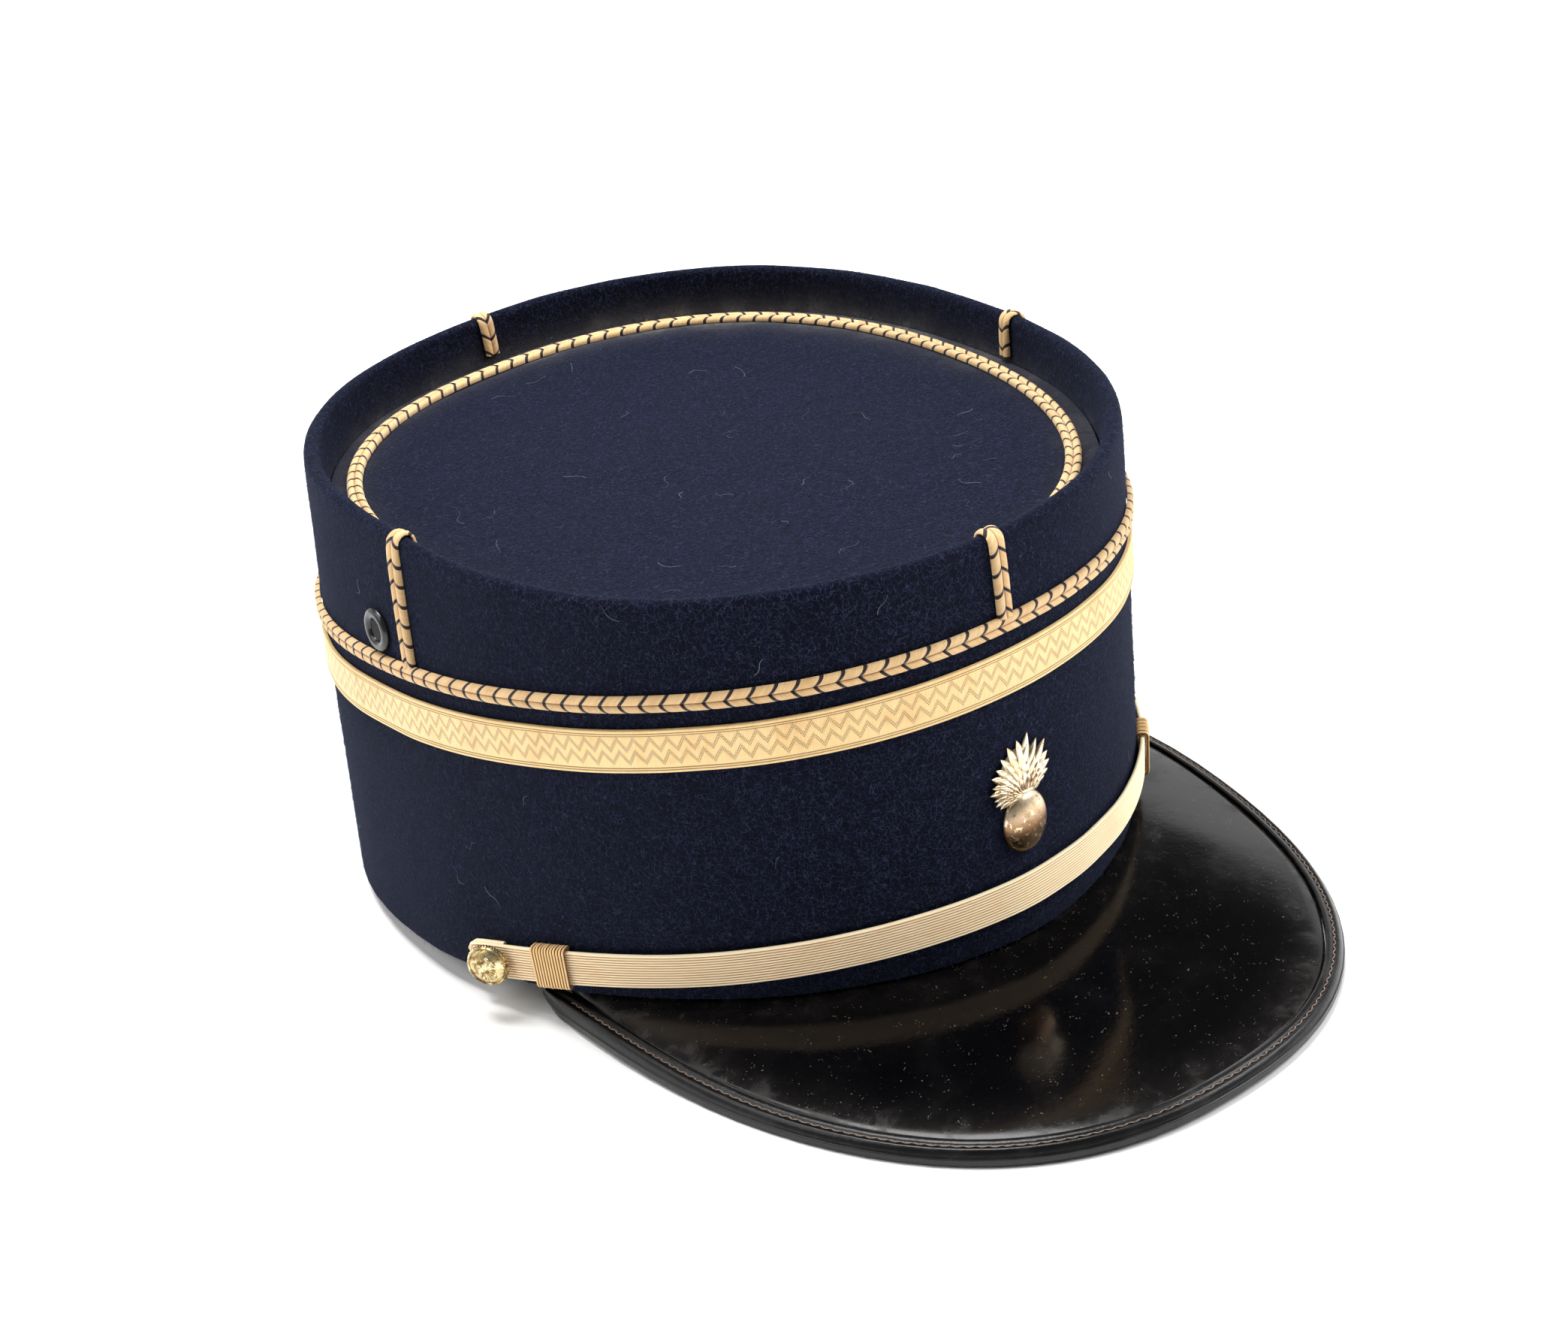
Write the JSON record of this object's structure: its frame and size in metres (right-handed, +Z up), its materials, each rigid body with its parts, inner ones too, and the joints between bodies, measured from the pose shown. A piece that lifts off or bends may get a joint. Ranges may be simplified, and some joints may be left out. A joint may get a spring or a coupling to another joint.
{
  "type": "kepi cap",
  "caption": "Stiff round felt cap with a sunken flat top, gold braid and lace, chin strap with slides and buttons, front badge and glossy leather peak.",
  "frame": {"origin": "on the surface that the cap stands on, below the middle of the head opening", "axes": "+Z up, the peak points along -Y, the wearer's right is -X"},
  "size_m": [0.1822, 0.255, 0.1055],
  "materials": {
    "felt": "dark navy wool felt with a short nap and a little lint",
    "braid": "two-ribbed pale gold braid with dark purple chevron threads",
    "lace": "flat woven pale gold lace with a dotted zigzag between edge lines",
    "strap": "pale gold strap of fine lengthwise cords",
    "gilt": "worn gilt metal with brown tarnish in the hollows",
    "black_paint": "satin black paint",
    "patent_leather": "glossy black patent leather with dust and dull scuffs",
    "edging_leather": "half-gloss black leather edging with brown stitching in its groove"
  },
  "bodies": {
    "root": {"crown_wall": "felt", "crown_top": "felt", "crown_braid": "braid", "top_braid": "braid", "front_braid": "braid", "left_braid": "braid", "back_braid": "braid", "right_braid": "braid", "rank_lace": "lace", "chin_strap": "strap", "strap_slide_right": "strap", "strap_slide_left": "strap", "strap_button_right": "gilt", "strap_button_left": "gilt", "badge": "gilt", "vent_eyelet_right": "black_paint", "vent_eyelet_left": "black_paint", "peak": "patent_leather", "peak_edging": "edging_leather"}
  },
  "joints": []
}
